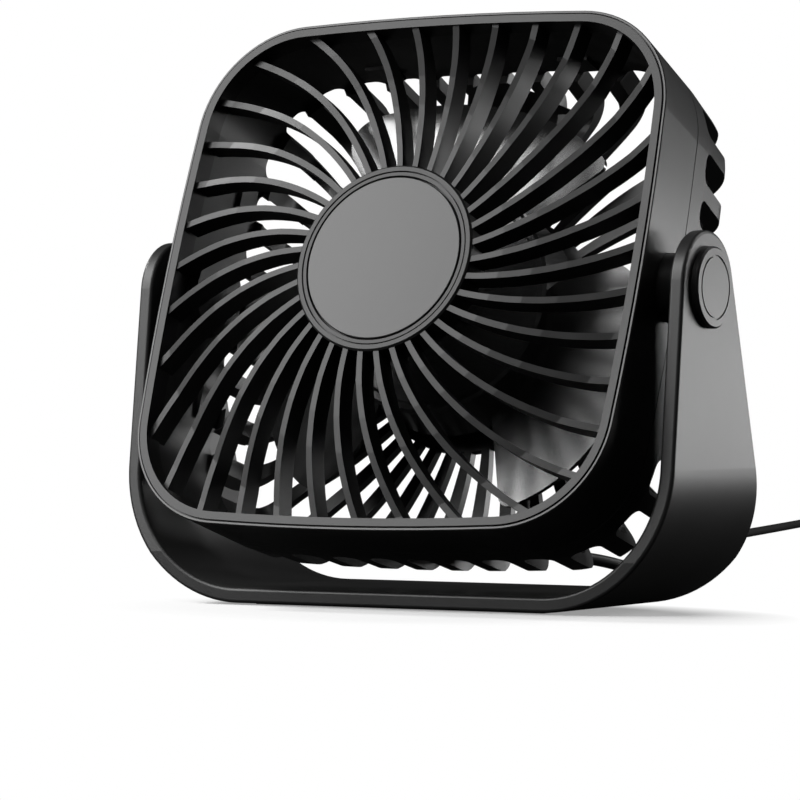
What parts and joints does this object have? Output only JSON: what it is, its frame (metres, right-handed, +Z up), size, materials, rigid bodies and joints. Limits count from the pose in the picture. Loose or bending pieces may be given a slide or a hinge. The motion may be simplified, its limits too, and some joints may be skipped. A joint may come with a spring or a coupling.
{
  "type": "desk fan",
  "caption": "Small square desk fan whose head tilts in a U-shaped strap stand, with swirled front ribs, wide scooped blades and a cord with a USB plug.",
  "frame": {"origin": "on the floor under the middle of the tilt axis, on the underside of the base pad", "axes": "+Z up, +X along the tilt axis, to the viewer's right when facing the fan, and the front of the fan faces -Y"},
  "size_m": [0.2541, 0.726, 0.1574],
  "materials": {
    "satin_black_plastic": "satin",
    "stand_black_plastic": "fine satin",
    "hub_disc_plastic": "soft matte",
    "gloss_black_plastic": "gloss",
    "button_plastic": "satin",
    "rubber_pad": "matt",
    "cord_jacket": "satin",
    "plug_plastic": "fine matt",
    "bright_steel": "brushed",
    "screw_steel": "dark zinc",
    "plated_contact": "bright",
    "bush_bronze": "sintered",
    "dark_ferrite": "matt",
    "board_green": "solder mask",
    "white_nylon": "satin"
  },
  "bodies": {
    "stand": {"stand_bracket": "stand_black_plastic", "base_pad": "rubber_pad", "pivot_cap_left": "stand_black_plastic", "pivot_cap_right": "stand_black_plastic", "friction_washers": "satin_black_plastic", "power_cord": "cord_jacket", "cord_coil": "cord_jacket", "cord_tie": "rubber_pad", "plug_lead": "cord_jacket", "plug_body": "plug_plastic", "plug_shell": "bright_steel", "plug_tongue": "white_nylon", "plug_contacts": "plated_contact"},
    "head": {"front_shell": "satin_black_plastic", "rear_shell": "satin_black_plastic", "front_grille": "satin_black_plastic", "hub_disc": "hub_disc_plastic", "motor_can": "bright_steel", "motor_end_cap": "white_nylon", "front_bush": "bush_bronze", "rear_bush": "bush_bronze", "motor_magnets": "dark_ferrite", "motor_plate": "satin_black_plastic", "motor_plate_screws": "screw_steel", "circuit_board": "board_green", "board_screws": "screw_steel", "switch_body": "button_plastic", "motor_leads": "cord_jacket", "board_leads": "cord_jacket", "inner_cable": "cord_jacket", "trunnion_left": "satin_black_plastic", "trunnion_right": "satin_black_plastic", "pivot_retainers": "screw_steel", "pivot_screws": "screw_steel", "strain_relief": "rubber_pad"},
    "rotor": {"impeller": "gloss_black_plastic", "motor_shaft": "bright_steel", "armature": "screw_steel"},
    "button": {"speed_button": "button_plastic"}
  },
  "joints": [
    {"name": "head_tilt", "type": "hinge", "parent": "stand", "child": "head", "pos_m": [0, 0, 0.0833], "axis": [1, 0, 0], "range_deg": [-70, 110], "deforming": ["power_cord"]},
    {"name": "rotor_spin", "type": "hinge", "parent": "head", "child": "rotor", "pos_m": [0, 0, 0.0833], "axis": [0, -0.9397, 0.342], "continuous": true},
    {"name": "button_press", "type": "slide", "parent": "head", "child": "button", "axis": [0, -0.9397, 0.342], "range_m": [0, 0.001], "stiffness_N_per_m": 900, "springref_m": -0.0006}
  ]
}
